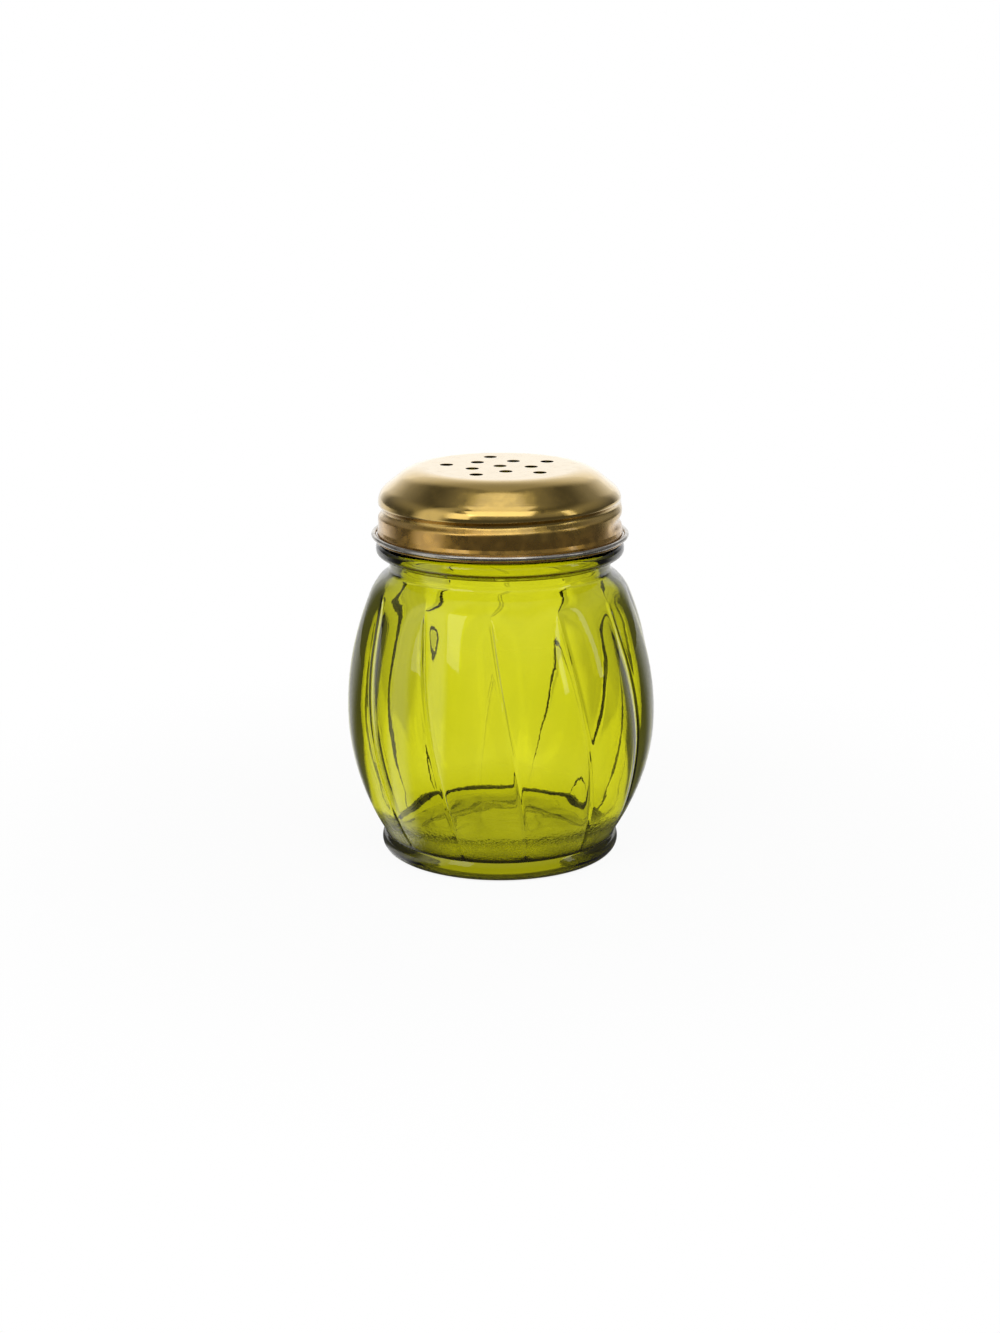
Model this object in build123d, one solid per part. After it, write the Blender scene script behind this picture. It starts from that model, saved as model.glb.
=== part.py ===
from build123d import *
import os
from math import asin, cos, pi, radians, sin, sqrt

# Sizes in millimetres. Z is up, the jar stands on Z = 0 and its front faces -Y.

# Heights of the jar, stacked from the table up
FOOT_HEIGHT = 5.4
LOWER_RISE = 32.6
UPPER_RISE = 30.8
ROLL_RISE = 4.0
NECK_FLARE = 1.8
NECK_LENGTH = 2.8
BEAD_HEIGHT = 4.6
FINISH_HEIGHT = 14.2

# Body, measured at the crests of the lobes
BELLY_RADIUS = 40.2
LOWER_TAPER = 10.0
UPPER_TAPER = 6.7
SHOULDER_ROLL = 12.0
WALL = 3.0
FLOOR_THICKNESS = 6.5
FLOOR_CORNER = 8.0

# Foot
FOOT_STEP = 0.6
FOOT_EDGE = 2.8
BEARING_WIDTH = 7.0
PUNT_DEPTH = 1.5

# Lobes and the grooves between them
LOBES = 12
GROOVE_DEPTH = 1.6
GROOVE_FADE_TOP = 16.0
GROOVE_FADE_BOTTOM = 24.0
INSIDE_FADE = 6.0
TWIST_PER_MM = -0.265
FRONT_GROOVE_HEIGHT = 53.0
LOFT_SECTIONS = 17

# Neck, bead and lip
NECK_BORE = 25.2
NECK_WALL = 3.1
BEAD_WIDTH = 3.4
BEAD_ROUND = 1.6
LIP_ROUND = 1.2

# Thread shared by jar and cap
THREAD_PITCH = 4.2
THREAD_DEPTH = 1.8
THREAD_ROOT_WIDTH = 2.4
THREAD_CREST_WIDTH = 1.0
THREAD_CLEARANCE = 0.5
THREAD_FADE = 0.12
JAR_THREAD_TURNS = 0.9
CAP_THREAD_TURNS = 1.1
CAP_THREAD_RISE = 3.2
CAP_THREAD_ANGLE = -30.0
SECTIONS_PER_TURN = 24

# Cap of sheet metal
SHEET = 0.45
CAP_RISE = 4.7
CAP_CONE_ANGLE = 38.9
CAP_TOP_ROUND = 10.0
CAP_SIDE_ROUND = 5.0
ROLLED_DEPTH = 1.2
ROLLED_TIP_WIDTH = 0.7
ROLLED_MOUTH_WIDTH = 2.0
HEM_FLARE = 0.25
HEM_PAST_BOTTOM = 10.0
SEAT_CLEARANCE = 0.35

# Sprinkle holes: one in the middle and two rings around it
HOLE_RADIUS = 1.7
HOLES_PER_RING = 5
INNER_RING_RADIUS = 7.95
INNER_RING_ANGLE = 64.5
OUTER_RING_RADIUS = 13.7
OUTER_RING_ANGLE = 28.5

# Steel ring lying in the hem of the cap
RING_WIRE_RADIUS = 0.6
RING_CLEARANCE = 0.3

# Levels that follow from the stacked heights
BELLY_LEVEL = FOOT_HEIGHT + LOWER_RISE
SHOULDER_LEVEL = BELLY_LEVEL + UPPER_RISE
GROOVE_TOP = SHOULDER_LEVEL + ROLL_RISE
NECK_FOOT = GROOVE_TOP + NECK_FLARE
BEAD_BOTTOM = NECK_FOOT + NECK_LENGTH
BEAD_TOP = BEAD_BOTTOM + BEAD_HEIGHT
LIP_TOP = BEAD_TOP + FINISH_HEIGHT
CAP_TOP = LIP_TOP + CAP_RISE
WALL_FOOT = FLOOR_THICKNESS + FLOOR_CORNER

# Radii and places that follow from the sizes above
CREASE_RADIUS = BELLY_RADIUS - LOWER_TAPER
SHOULDER_RADIUS = BELLY_RADIUS - UPPER_TAPER
NECK_RADIUS = NECK_BORE + NECK_WALL
THREAD_CREST_RADIUS = NECK_RADIUS + THREAD_DEPTH
CAP_INSIDE_RADIUS = THREAD_CREST_RADIUS + THREAD_CLEARANCE
CAP_RADIUS = CAP_INSIDE_RADIUS + SHEET
HEM_RADIUS = RING_WIRE_RADIUS + RING_CLEARANCE
RING_RADIUS = CAP_RADIUS + HEM_FLARE + HEM_RADIUS
RING_LEVEL = BEAD_TOP + SEAT_CLEARANCE + SHEET + HEM_RADIUS
CAP_THREAD_LEVEL = RING_LEVEL + CAP_THREAD_RISE


def polar(radius, angle, height):
    return (radius * cos(radians(angle)), radius * sin(radians(angle)), height)


def arc_radius(drop, rise):
    return (drop ** 2 + rise ** 2) / (2 * drop)


def arc_drop(radius, rise):
    return radius - sqrt(radius ** 2 - rise ** 2)


def crest_radius(height):
    """Radius of the lobe crests: a lower arc, an upper arc and a tighter roll over the shoulder."""
    if height < BELLY_LEVEL:
        return BELLY_RADIUS - arc_drop(arc_radius(LOWER_TAPER, LOWER_RISE), BELLY_LEVEL - height)
    upper = arc_radius(UPPER_TAPER, UPPER_RISE)
    if height < SHOULDER_LEVEL:
        return BELLY_RADIUS - arc_drop(upper, height - BELLY_LEVEL)
    tilt = asin(UPPER_RISE / upper)
    above_centre = height - SHOULDER_LEVEL + SHOULDER_ROLL * sin(tilt)
    return SHOULDER_RADIUS - SHOULDER_ROLL * cos(tilt) + sqrt(SHOULDER_ROLL ** 2 - above_centre ** 2)


def eased(share):
    """Rises from 0 to 1 and levels off there."""
    return sin(min(1, share) * pi / 2)


def groove_depth(height):
    """Depth of the grooves between lobes, fading out at the foot and at the shoulder."""
    from_bottom = eased((height - FOOT_HEIGHT) / GROOVE_FADE_BOTTOM)
    return GROOVE_DEPTH * from_bottom * eased((GROOVE_TOP - height) / GROOVE_FADE_TOP)


def inside_depth(height):
    """Depth of the grooves on the inside, between the round of the floor and the shoulder."""
    from_floor = eased((height - WALL_FOOT) / INSIDE_FADE)
    return groove_depth(height) * from_floor * eased((SHOULDER_LEVEL - height) / INSIDE_FADE)


def lobed_section(height, inset, depth):
    """Outline at one height, inset from the crests: one arc for each lobe, meeting in the grooves."""
    crest = crest_radius(height) - inset
    groove = crest - depth
    pitch = 360 / LOBES
    front_groove = -90 + TWIST_PER_MM * (height - FRONT_GROOVE_HEIGHT)
    arcs = []
    for lobe in range(LOBES):
        start = front_groove + lobe * pitch
        first = polar(groove, start, height)
        middle = polar(crest, start + pitch / 2, height)
        last = polar(groove, start + pitch, height)
        arcs.append(ThreePointArc(first, middle, last))
    return Wire(arcs)


def lobed_form(bottom, top, inset, depth_at):
    """Loft through the lobed outlines, which lie closer together where the grooves fade."""
    sections = []
    for step in range(LOFT_SECTIONS):
        share = (1 - cos(pi * step / (LOFT_SECTIONS - 1))) / 2
        height = bottom + (top - bottom) * share
        sections.append(lobed_section(height, inset, depth_at(height)))
    return Solid.make_loft(sections)


def turned(outline):
    """Solid of revolution around Z from a closed outline drawn as (radius, height)."""
    return revolve(Plane.XZ * make_face(outline), Axis.Z)


def foot():
    """Foot with a flat bearing ring, a shallow hollow under the middle and a rounded edge."""
    edge_radius = CREASE_RADIUS + FOOT_STEP
    bearing_outside = edge_radius - FOOT_EDGE
    bearing_inside = bearing_outside - BEARING_WIDTH
    top_bulge = (edge_radius - FOOT_STEP / 4, (FOOT_EDGE + FOOT_HEIGHT) / 2)
    outline = [
        ThreePointArc((0, PUNT_DEPTH), (bearing_inside / 2, PUNT_DEPTH * 3 / 4), (bearing_inside, 0)),
        Line((bearing_inside, 0), (bearing_outside, 0)),
        RadiusArc((bearing_outside, 0), (edge_radius, FOOT_EDGE), -FOOT_EDGE),
        ThreePointArc((edge_radius, FOOT_EDGE), top_bulge, (CREASE_RADIUS, FOOT_HEIGHT)),
        Polyline((CREASE_RADIUS, FOOT_HEIGHT), (0, FOOT_HEIGHT), (0, PUNT_DEPTH)),
    ]
    return turned(outline)


def neck_and_finish():
    """Neck, bead under the lid and the plain wall of the finish, still without its bore."""
    bead_radius = NECK_RADIUS + BEAD_WIDTH
    corners = [
        (0, GROOVE_TOP, 0),
        (crest_radius(GROOVE_TOP), GROOVE_TOP, 0),
        (NECK_RADIUS, NECK_FOOT, BEAD_ROUND),
        (NECK_RADIUS, BEAD_BOTTOM, BEAD_ROUND / 3),
        (bead_radius, BEAD_BOTTOM + BEAD_HEIGHT / 3, BEAD_ROUND),
        (bead_radius, BEAD_TOP, BEAD_ROUND),
        (NECK_RADIUS, BEAD_TOP, BEAD_ROUND / 3),
        (NECK_RADIUS, LIP_TOP, LIP_ROUND),
        (0, LIP_TOP, 0),
    ]
    points = [(radius, height) for radius, height, _ in corners]
    rounds = [rounding for _, _, rounding in corners]
    return turned(FilletPolyline(*points, radius=rounds, close=True))


def wall_slope(height):
    """Direction of the inside wall, as (radius, height), going up."""
    step = WALL / 10
    return (crest_radius(height + step) - crest_radius(height), step)


def cavity():
    """Space inside the jar: a rounded floor, a wall that follows the lobes, the neck and the rounded lip."""
    floor_edge = (CREASE_RADIUS - FLOOR_CORNER, FLOOR_THICKNESS)
    wall_foot = (crest_radius(WALL_FOOT) - WALL, WALL_FOOT)
    shoulder = (SHOULDER_RADIUS - WALL, SHOULDER_LEVEL)
    bore_foot = (NECK_BORE, NECK_FOOT + WALL / 2)
    lip = (NECK_BORE, LIP_TOP - LIP_ROUND)
    lip_edge = (NECK_BORE + LIP_ROUND, LIP_TOP)
    above = LIP_TOP + LIP_ROUND
    bowl = [
        Line((0, FLOOR_THICKNESS), floor_edge),
        Spline(floor_edge, wall_foot, tangents=[(1, 0), wall_slope(WALL_FOOT)]),
        Polyline(wall_foot, (0, WALL_FOOT), (0, FLOOR_THICKNESS)),
    ]
    neck = [
        Line((0, SHOULDER_LEVEL), shoulder),
        Spline(shoulder, bore_foot, tangents=[wall_slope(SHOULDER_LEVEL), (0, 1)]),
        Line(bore_foot, lip),
        RadiusArc(lip, lip_edge, LIP_ROUND),
        Polyline(lip_edge, (lip_edge[0], above), (0, above), (0, SHOULDER_LEVEL)),
    ]
    return turned(bowl) + lobed_form(WALL_FOOT, SHOULDER_LEVEL, WALL, inside_depth) + turned(neck)


def helical_rib(base_radius, tip_radius, base_width, tip_width, level, turns):
    """Rib of trapezoid section wound right-handed around Z, sinking back to its base at both ends."""
    count = round(turns * SECTIONS_PER_TURN) + 1
    sections = []
    for step in range(count):
        turn = turns * step / (count - 1)
        to_end = min(turn, turns - turn) / THREAD_FADE
        share = 0.02 + 0.98 * sin(min(1, to_end) * pi / 2)
        tip = base_radius + (tip_radius - base_radius) * share
        angle = CAP_THREAD_ANGLE + 360 * turn
        middle = level + THREAD_PITCH * turn
        corners = [
            polar(base_radius, angle, middle - base_width / 2),
            polar(tip, angle, middle - tip_width / 2),
            polar(tip, angle, middle + tip_width / 2),
            polar(base_radius, angle, middle + base_width / 2),
        ]
        sections.append(Wire.make_polygon(corners))
    return Solid.make_loft(sections)


def make_glass_jar():
    sunk = NECK_WALL / 6
    flank = (THREAD_ROOT_WIDTH - THREAD_CREST_WIDTH) / THREAD_DEPTH
    thread = helical_rib(
        NECK_RADIUS - sunk,
        THREAD_CREST_RADIUS,
        THREAD_ROOT_WIDTH + flank * sunk,
        THREAD_CREST_WIDTH,
        CAP_THREAD_LEVEL + THREAD_PITCH / 2,
        JAR_THREAD_TURNS,
    )
    body = lobed_form(FOOT_HEIGHT, GROOVE_TOP, 0, groove_depth)
    return foot() + body + neck_and_finish() - cavity() + thread


def cap_sheet():
    """Sheet of the cap, from the middle of its top down to the hem that cradles the ring.

    The cone between top and side lies one seat clearance above the rounded lip of the jar.
    """
    across = sin(radians(CAP_CONE_ANGLE))
    upward = cos(radians(CAP_CONE_ANGLE))
    lip_centre = across * (NECK_RADIUS - LIP_ROUND) + upward * (LIP_TOP - LIP_ROUND)
    cone = lip_centre + LIP_ROUND + SEAT_CLEARANCE + SHEET
    hem_inside = RING_RADIUS - HEM_RADIUS
    side = FilletPolyline(
        (0, CAP_TOP),
        ((cone - upward * CAP_TOP) / across, CAP_TOP),
        (CAP_RADIUS, (cone - across * CAP_RADIUS) / upward),
        (CAP_RADIUS, RING_LEVEL + HEM_RADIUS * 2),
        (hem_inside, RING_LEVEL + HEM_RADIUS),
        (hem_inside, RING_LEVEL),
        radius=[CAP_TOP_ROUND, CAP_SIDE_ROUND, SHEET, SHEET],
    )
    past = radians(HEM_PAST_BOTTOM)
    hem = ThreePointArc(
        (hem_inside, RING_LEVEL),
        (RING_RADIUS - HEM_RADIUS * sin(pi / 4), RING_LEVEL - HEM_RADIUS * cos(pi / 4)),
        (RING_RADIUS + HEM_RADIUS * sin(past), RING_LEVEL - HEM_RADIUS * cos(past)),
    )
    outside = Wire([*side.edges(), *hem.edges()])
    return turned(offset(outside, SHEET, side=Side.RIGHT))


def sprinkle_holes():
    spots = [(0, 0, CAP_TOP)]
    for step in range(HOLES_PER_RING):
        turn = 360 * step / HOLES_PER_RING
        spots.append(polar(INNER_RING_RADIUS, INNER_RING_ANGLE + turn, CAP_TOP))
        spots.append(polar(OUTER_RING_RADIUS, OUTER_RING_ANGLE + turn, CAP_TOP))
    return [Pos(*spot) * Cylinder(HOLE_RADIUS, SHEET * 4) for spot in spots]


def make_lid_cap():
    """Cap with its thread rolled in: a ridge inside the skirt and the groove it leaves outside."""
    ridge = helical_rib(
        CAP_INSIDE_RADIUS + SHEET / 2,
        CAP_INSIDE_RADIUS - ROLLED_DEPTH,
        ROLLED_MOUTH_WIDTH + SHEET * 2,
        ROLLED_TIP_WIDTH + SHEET,
        CAP_THREAD_LEVEL,
        CAP_THREAD_TURNS,
    )
    groove = helical_rib(
        CAP_RADIUS + SHEET / 2,
        CAP_RADIUS - ROLLED_DEPTH,
        ROLLED_MOUTH_WIDTH,
        ROLLED_TIP_WIDTH,
        CAP_THREAD_LEVEL,
        CAP_THREAD_TURNS,
    )
    return cap_sheet() + ridge - groove - sprinkle_holes()


def make_rim_ring():
    return Pos(0, 0, RING_LEVEL) * Torus(RING_RADIUS, RING_WIRE_RADIUS)


if __name__ == "__main__":
    os.makedirs("parts", exist_ok=True)
    export_step(make_glass_jar(), "parts/glass_jar.step")
    export_step(make_lid_cap(), "parts/lid_cap.step")
    export_step(make_rim_ring(), "parts/rim_ring.step")
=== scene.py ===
"""Parmesan shaker: swirled green glass jar, gold sprinkle cap and steel hem ring, on a white table."""

from math import asin, cos, exp, pi, radians, sin, sqrt, tan

import bmesh
import bpy
from bpy.props import FloatProperty, FloatVectorProperty, IntProperty, PointerProperty
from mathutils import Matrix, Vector, noise


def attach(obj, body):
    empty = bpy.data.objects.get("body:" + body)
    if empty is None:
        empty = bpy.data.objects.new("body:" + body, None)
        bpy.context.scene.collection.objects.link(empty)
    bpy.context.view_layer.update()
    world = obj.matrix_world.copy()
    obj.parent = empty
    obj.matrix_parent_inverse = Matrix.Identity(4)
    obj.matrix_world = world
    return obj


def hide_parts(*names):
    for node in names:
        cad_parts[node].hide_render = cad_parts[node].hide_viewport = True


bl_info = {
    "name": "Parmesan Shaker",
    "version": (1, 0, 0),
    "blender": (4, 5, 0),
    "location": "View3D > Sidebar > Shaker",
    "description": "Builds a green glass parmesan shaker with a gold sprinkle cap",
    "category": "Add Mesh",
}

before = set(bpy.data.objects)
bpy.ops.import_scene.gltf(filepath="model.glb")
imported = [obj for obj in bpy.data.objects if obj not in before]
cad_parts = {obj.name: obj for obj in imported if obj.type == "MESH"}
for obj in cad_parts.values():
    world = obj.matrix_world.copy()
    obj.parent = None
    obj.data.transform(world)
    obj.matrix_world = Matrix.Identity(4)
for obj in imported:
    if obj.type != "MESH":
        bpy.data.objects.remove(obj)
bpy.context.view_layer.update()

# Fineness of the meshes: counts of steps, and about how far rings lie apart at most, in metres
BODY_RINGS, FLOOR_RINGS = 96, 24
WALL_SPANS, WALL_STEPS = 5, 14
HOLLOW_STEPS, FOOT_EDGE_STEPS, FOOT_TOP_STEPS = 4, 10, 3
NECK_STEPS, CAP_STEPS, HEM_STEPS = 6, 12, 12
FOLD_STEPS, PUNCH_STEPS = 4, 4
FOOT_GAP, NECK_GAP, CAP_GAP = 0.0014, 0.00045, 0.00035

# Extra rings, as shares of a way: from the hollow's middle outwards, and from the floor's edge up and in
MIDDLE_RING = 1 / 8
SLOPE_RING = 0.15
FLOOR_EDGE_RING = 0.004

# Direction of the foot's side where it meets the crease, and play in telling the finish from the lip
FOOT_TOP_SLOPE = (-0.42, 0.9)
FINISH_PLAY = 0.0001

MILLIMETRES_PER_METRE = 1000

# Unevenness of blown glass, as (fineness, shift), and the share of the height that it goes by
WALL_SWELLS = (1.0, (0.0, 0.0, 0.0))
LEVEL_SWELLS = (1.6, (9.0, 4.0, 2.0))
FLOOR_EDGE_SWELLS = (2.2, (3.0, 8.0, 1.0))
FLOOR_SWELLS = (3.5, (1.0, 6.0, 5.0))
SWELL_HEIGHT = 0.5

# Noises of the finishes, as (scale per metre, detail), with a stretch along the axes for the mould's
GLASS_CLOUDS = (90.0, 2.0)
GLASS_MOULD = (120.0, 1.0, (1.0, 1.0, 0.45))
GLASS_HAZE = (260.0, 3.0)
GLASS_SKIN = (700.0, 2.0)
GLASS_STIPPLE = (1500.0, 1.0)
GOLD_DENTS = (55.0, 1.0)
GOLD_PATCHES = (75.0, 4.0)
GOLD_WEAR = (420.0, 5.0)
GOLD_MARKS = (2600.0, 3.0)
STEEL_PATCHES = (240.0, 4.0)
STEEL_WEAR = (900.0, 4.0)
STEEL_MARKS = (5200.0, 3.0)

# Bumps of the finishes, as (strength, depth in metres)
MOULD_BUMP = (0.25, 0.0004)
SKIN_BUMP = (0.05, 0.0001)
DENT_BUMP = (0.12, 0.0006)
SPUN_BUMP = (0.06, 0.00005)
DRAWN_BUMP = (0.10, 0.00006)

# Span that holds most of a noise, and where a tint starts and ends along it
NOISE_LOW, NOISE_HIGH = 0.3, 0.7
TINT_START, TINT_END = 0.34, 0.68

# Least and most wear, as shares of a finish's roughness, and how far patches shift the gold
GOLD_WORN = (0.6, 1.5)
STEEL_WORN = (0.7, 1.4)
PATCH_SHIFT = 0.15

# Heights of a normal at which a surface starts to face down, and fully does
HEEL_DOWN = (-0.35, -0.5)
# The second pair picks the cap's inside, which gets near-black painted shade
INSIDE_DOWN = (-0.68, -0.76)

# Heights at which the stipple starts and is full, as shares of the heel's height
HEEL_FADE = (1.3, 0.9)

# Depths under the plate's top at which the painted shade on the wall of a hole starts, and is full
HOLE_WALL_FADE = (1e-5, 4e-5)

# Sockets of a Mix node that mixes colours, which share their names with its other sockets
MIX_FIRST_COLOUR, MIX_SECOND_COLOUR, MIX_COLOUR = 6, 7, 2

WHITE = (1.0, 1.0, 1.0)

# Soft lamps, as (name, place, target, width, height, brightness)
SOFT_BOXES = (
    ("top_box", (0.0, -0.135, 0.685), (0.0, 0.0, 0.10), 0.42, 0.30, 1.1),
    ("front_box", (0.0, -0.405, 0.542), (0.0, 0.0, 0.10), 0.60, 0.31, 1.8),
    ("window_box", (-0.52, -0.62, 0.46), (0.0, 0.0, 0.05), 0.34, 0.46, 1.5),
    ("side_box", (0.62, -0.22, 0.30), (0.0, 0.0, 0.05), 0.10, 0.46, 1.6),
    ("back_box", (0.0, 0.85, 0.31), (0.0, 0.0, 0.31), 0.80, 0.48, 0.25),
)
METAL_BOXES = ("top_box", "front_box")

# Rays that have passed more surfaces than this have come through two walls of glass
HOLLOW_PASSES = 3.5

# Half the angle between white paths, for solid and for hollow glass, and a path's edge in half widths
SOLID_FOLD, HOLLOW_FOLD = pi / 4, pi / 8
PATH_EDGE = (0.8, 1.35)

# Panel at the left: its bearing and its edge, and how soft the edge of the panel behind is
LEFT_PANEL, LEFT_PANEL_EDGE = radians(-159), (radians(8), radians(22))
PANEL_SOFTNESS = radians(14)

# Heights in the room, from 0 level to 1 overhead: the bend of the wall behind, and the steps of the cove
WALL_BEND = (0.47, 0.85)
COVE_HEIGHTS = (0.05, 0.55, 0.80, 1.0)

# Edge of the painted shadow under the foot, as shares of its radius
FOOT_SHADOW_EDGE = (0.85, 1.05)

# Roughness of the table's paint, and the nearest that the camera sees, in metres
TABLE_ROUGHNESS = 0.5
NEAREST_SEEN = 0.01


def length(name, description, default):
    """A size in metres that shows with its unit."""
    return FloatProperty(
        name=name, description=description, default=default, unit="LENGTH", precision=5, min=0.0
    )


def share(name, description, default):
    """A number from 0 to 1."""
    return FloatProperty(
        name=name, description=description, default=default, min=0.0, max=1.0, subtype="FACTOR"
    )


def number(name, description, default):
    """A plain number."""
    return FloatProperty(name=name, description=description, default=default, precision=4)


def whole(name, description, default, least):
    """A whole number."""
    return IntProperty(name=name, description=description, default=default, min=least)


def turn(name, description, degrees):
    """An angle, given in degrees."""
    return FloatProperty(name=name, description=description, default=radians(degrees), unit="ROTATION")


def colour(name, description, default):
    """A linear colour."""
    return FloatVectorProperty(
        name=name, description=description, default=default, size=3, subtype="COLOR", min=0.0, max=1.0
    )


def place(name, description, default):
    """A point in metres."""
    return FloatVectorProperty(
        name=name, description=description, default=default, size=3, subtype="TRANSLATION", unit="LENGTH"
    )


class JarSizes(bpy.types.PropertyGroup):
    """Sizes of the glass jar"""

    foot_height: length("Foot height", "Table to the crease above the foot", 0.0054)
    lower_rise: length("Lower rise", "Crease to the widest part of the belly", 0.0326)
    upper_rise: length("Upper rise", "Belly to the shoulder", 0.0308)
    roll_rise: length("Roll rise", "Shoulder to the top of the grooves", 0.0040)
    neck_flare: length("Neck flare", "Top of the grooves to the neck", 0.0018)
    neck_length: length("Neck length", "Plain neck under the bead", 0.0028)
    bead_height: length("Bead height", "Height of the bead under the lid", 0.0046)
    finish_height: length("Finish height", "Bead to the lip", 0.0142)
    belly_radius: length("Belly radius", "Radius at the lobe crests", 0.04018)
    lower_taper: length("Lower taper", "How much the belly draws in to the crease", 0.0102)
    upper_taper: length("Upper taper", "How much the belly draws in to the shoulder", 0.0067)
    shoulder_roll: length("Shoulder roll", "Radius of the roll over the shoulder", 0.0120)
    wall: length("Wall", "Glass behind a lobe crest", 0.0030)
    floor_thickness: length("Floor thickness", "Glass under the cheese", 0.0065)
    floor_corner: length("Floor corner", "Size of the round between floor and wall", 0.0060)
    foot_step: length("Foot step", "How far the foot stands out past the crease", 0.0009)
    heel_height: length("Heel height", "Table to the top of the stippled heel", 0.0125)
    foot_edge: length("Foot edge", "Round at the edge of the foot", 0.0028)
    bearing_width: length("Bearing width", "Flat ring that stands on the table", 0.0070)
    punt_depth: length("Punt depth", "Hollow under the middle of the foot", 0.0015)
    punt_round: length("Punt round", "Round of the step into that hollow", 0.0005)
    groove_depth: length("Groove depth", "Depth of the grooves between lobes", 0.0016)
    groove_round: length("Groove round", "Softness of the bottom of a groove", 0.00020)
    groove_fade_top: length("Groove fade, top", "Height over which grooves end at the shoulder", 0.0160)
    groove_fade_bottom: length("Groove fade, bottom", "Height over which grooves end at the foot", 0.0240)
    crease_depth: length("Crease depth", "Depth of the narrow crease that marks each groove", 0.00032)
    crease_width: length("Crease width", "Half width of that crease", 0.00042)
    crease_stop: length("Crease stop", "Top of the grooves down to where the creases end", 0.0030)
    crease_fade_top: length("Crease fade, top", "Height over which creases end at the shoulder", 0.0070)
    crease_fade_bottom: length("Crease fade, bottom", "Height over which creases end at the foot", 0.00175)
    inside_fade: length("Inside fade", "Height over which the grooves end on the inside", 0.0060)
    inside_round: length("Inside round", "Softness of the grooves where they show inside", 0.00035)
    front_groove_height: length("Front groove height", "Where one groove faces the front", 0.0530)
    neck_bore: length("Neck bore", "Radius of the bore", 0.0252)
    neck_wall: length("Neck wall", "Glass of the neck", 0.0031)
    bead_width: length("Bead width", "How far the bead stands out", 0.0034)
    bead_round: length("Bead round", "Round of the bead", 0.0016)
    lip_round: length("Lip round", "Round of the lip", 0.0012)
    thread_pitch: length("Thread pitch", "Rise of the thread in one turn", 0.0042)
    thread_depth: length("Thread depth", "Height of the glass thread", 0.0018)
    thread_root: length("Thread root", "Width of the glass thread at its root", 0.0024)
    thread_crest: length("Thread crest", "Width of the glass thread at its crest", 0.0010)
    wall_ripple: length("Wall ripple", "Unevenness of the blown inside", 0.00012)
    floor_wander: length("Floor wander", "Unevenness of the edge of the floor", 0.00120)
    floor_ripple: length("Floor ripple", "Unevenness of the floor", 0.00015)
    ripple_size: length("Ripple size", "Spacing of that unevenness", 0.0140)
    thread_turns: number("Thread turns", "Turns of the glass thread", 0.9)
    twist: number("Twist", "Turn of the grooves, in degrees per millimetre of height", -0.265)
    inside_lobes: share("Inside lobes", "How much of the grooves shows on the inside", 1.0)
    crowding: share("Crowding", "How much the mesh gathers at the grooves", 0.86)
    thread_fade: share("Thread fade", "Share of a turn over which a thread runs out", 0.12)
    thread_angle: turn("Thread angle", "Where both threads begin", -30.0)
    floor_slope: turn("Floor slope", "Rise of the wall where it leaves the floor", 25.0)
    lobes: whole("Lobes", "Lobes around the body", 12, 3)
    lobe_steps: whole("Lobe steps", "Mesh steps across one lobe", 30, 6)


class LidSizes(bpy.types.PropertyGroup):
    """Sizes of the cap and of the ring in its hem"""

    sheet: length("Sheet", "Thickness of the metal", 0.00045)
    cap_rise: length("Cap rise", "Lip of the jar to the top of the cap", 0.0047)
    top_round: length("Top round", "Round between top and cone", 0.0100)
    side_round: length("Side round", "Round between cone and skirt", 0.0050)
    seat_clearance: length("Seat clearance", "Gap between cap and glass", 0.00035)
    thread_clearance: length("Thread clearance", "Gap between skirt and glass thread", 0.0005)
    rolled_depth: length("Rolled depth", "Depth of the rolled thread", 0.0012)
    rolled_mouth: length("Rolled mouth", "Width of the rolled thread", 0.0036)
    thread_rise: length("Thread rise", "Ring to the start of the rolled thread", 0.0038)
    hem_flare: length("Hem flare", "How far the hem opens out", 0.00025)
    hole_radius: length("Hole radius", "Radius of a sprinkle hole", 0.0017)
    hole_edge: length("Hole edge", "Round of the punched edge", 0.00004)
    hole_border: length("Hole border", "Flat border kept around a hole", 0.0007)
    inner_ring: length("Inner holes", "Radius of the inner ring of holes", 0.00795)
    outer_ring: length("Outer holes", "Radius of the outer ring of holes", 0.0137)
    plate_radius: length("Plate radius", "Flat plate that holds the holes", 0.0172)
    wire_radius: length("Wire radius", "Radius of the hem ring's wire", 0.0006)
    ring_clearance: length("Ring clearance", "Gap between ring and hem", 0.0003)
    cone_angle: turn("Cone angle", "Slope of the cone", 38.9)
    hem_past_bottom: turn("Hem past bottom", "Reach of the hem past its lowest point, or short of it", -25.0)
    inner_turn: turn("Inner turn", "Where the inner holes begin", 64.5)
    outer_turn: turn("Outer turn", "Where the outer holes begin", 28.5)
    thread_turns: number("Thread turns", "Turns of the rolled thread", 1.1)
    holes_per_ring: whole("Holes per ring", "Holes in each ring", 5, 1)
    round_steps: whole("Round steps", "Mesh steps around the lid", 240, 24)
    hole_steps: whole("Hole steps", "Mesh steps around a hole", 28, 8)
    wire_steps: whole("Wire steps", "Mesh steps around the wire", 20, 8)


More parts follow.
